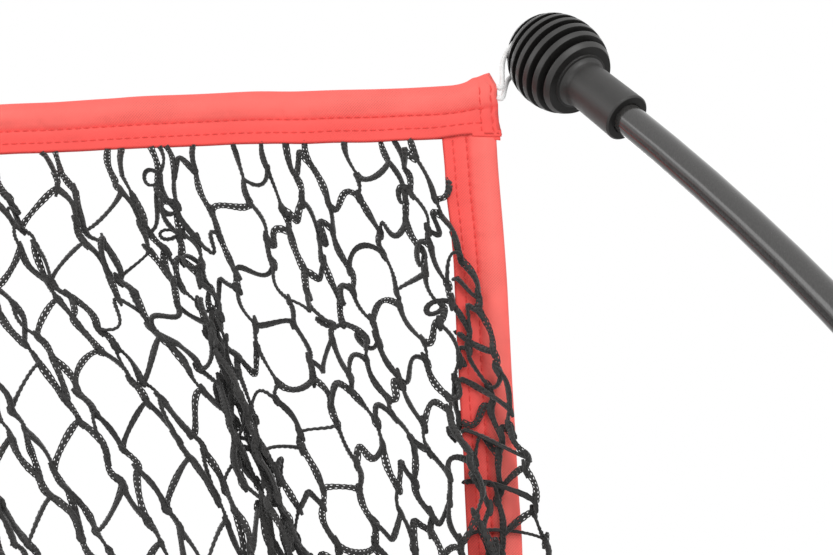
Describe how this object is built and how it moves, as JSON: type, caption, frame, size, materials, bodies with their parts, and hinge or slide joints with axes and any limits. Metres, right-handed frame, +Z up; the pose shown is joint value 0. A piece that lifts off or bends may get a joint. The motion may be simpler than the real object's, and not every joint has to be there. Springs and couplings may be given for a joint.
{
  "type": "pitching target net",
  "caption": "Free-standing bow-frame pitching net: a slack knitted pocket in a sleeved border, held by two bent poles over a take-apart tubular base.",
  "frame": {"origin": "on the ground, under the middle of the whole object", "axes": "+X to the thrower's right along the front bar, +Y back from the thrower towards the pocket and the legs, +Z up"},
  "size_m": [2.7712, 1.04, 2.1525],
  "materials": {
    "border_fabric": "woven polyester sleeve, matt",
    "net_cord": "knitted polyester cord, matt",
    "elastic": "white covered elastic, matt",
    "strap_webbing": "hook-and-loop webbing, matt",
    "ball_plastic": "moulded, fine satin",
    "pole_fibreglass": "pultruded tube, glossy",
    "ferrule_steel": "drawn sleeve, satin",
    "shock_elastic": "covered elastic, matt",
    "tube_paint": "black powder coat, satin",
    "foot_rubber": "moulded rubber, matt",
    "button_steel": "plated, satin",
    "leaf_steel": "spring strip, satin"
  },
  "bodies": {
    "frame": {"border_top": "border_fabric", "border_bottom": "border_fabric", "border_left": "border_fabric", "border_right": "border_fabric", "net_upper_left": "net_cord", "net_upper_centre": "net_cord", "net_upper_right": "net_cord", "net_middle_left": "net_cord", "net_middle_centre": "net_cord", "net_middle_right": "net_cord", "net_lower_left": "net_cord", "net_lower_centre": "net_cord", "net_lower_right": "net_cord", "corner_loop_left": "elastic", "corner_loop_right": "elastic", "bottom_straps": "strap_webbing", "ball_cap_left": "ball_plastic", "ball_cap_right": "ball_plastic", "pole_upper_left": "pole_fibreglass", "pole_upper_right": "pole_fibreglass", "pole_middle_left": "pole_fibreglass", "pole_middle_right": "pole_fibreglass", "pole_lower_left": "pole_fibreglass", "pole_lower_right": "pole_fibreglass", "ferrules_left": "ferrule_steel", "ferrules_right": "ferrule_steel", "shock_cord_left": "shock_elastic", "shock_cord_right": "shock_elastic", "pole_socket_left": "tube_paint", "pole_socket_right": "tube_paint", "base_bar_centre": "tube_paint", "base_bar_left": "tube_paint", "base_bar_right": "tube_paint", "leg_stub_left": "tube_paint", "leg_stub_right": "tube_paint", "leg_left": "tube_paint", "leg_right": "tube_paint", "foot_front_left": "foot_rubber", "foot_front_right": "foot_rubber", "foot_rear_left": "foot_rubber", "foot_rear_right": "foot_rubber", "leaf_bar_left": "leaf_steel", "leaf_bar_right": "leaf_steel", "leaf_leg_left": "leaf_steel", "leaf_leg_right": "leaf_steel"},
    "button_bar_left": {"button_bar_left": "button_steel"},
    "button_bar_right": {"button_bar_right": "button_steel"},
    "button_leg_left": {"button_leg_left": "button_steel"},
    "button_leg_right": {"button_leg_right": "button_steel"}
  },
  "joints": [
    {"name": "press_bar_left", "type": "slide", "parent": "frame", "child": "button_bar_left", "axis": [0, 0, -1], "range_m": [0, 0.0048], "stiffness_N_per_m": 1500, "springref_m": -0.001, "deforming": ["leaf_bar_left"]},
    {"name": "press_bar_right", "type": "slide", "parent": "frame", "child": "button_bar_right", "axis": [0, 0, -1], "range_m": [0, 0.0048], "stiffness_N_per_m": 1500, "springref_m": -0.001, "deforming": ["leaf_bar_right"]},
    {"name": "press_leg_left", "type": "slide", "parent": "frame", "child": "button_leg_left", "axis": [0, 0, -1], "range_m": [0, 0.0048], "stiffness_N_per_m": 1500, "springref_m": -0.001, "deforming": ["leaf_leg_left"]},
    {"name": "press_leg_right", "type": "slide", "parent": "frame", "child": "button_leg_right", "axis": [0, 0, -1], "range_m": [0, 0.0048], "stiffness_N_per_m": 1500, "springref_m": -0.001, "deforming": ["leaf_leg_right"]}
  ]
}
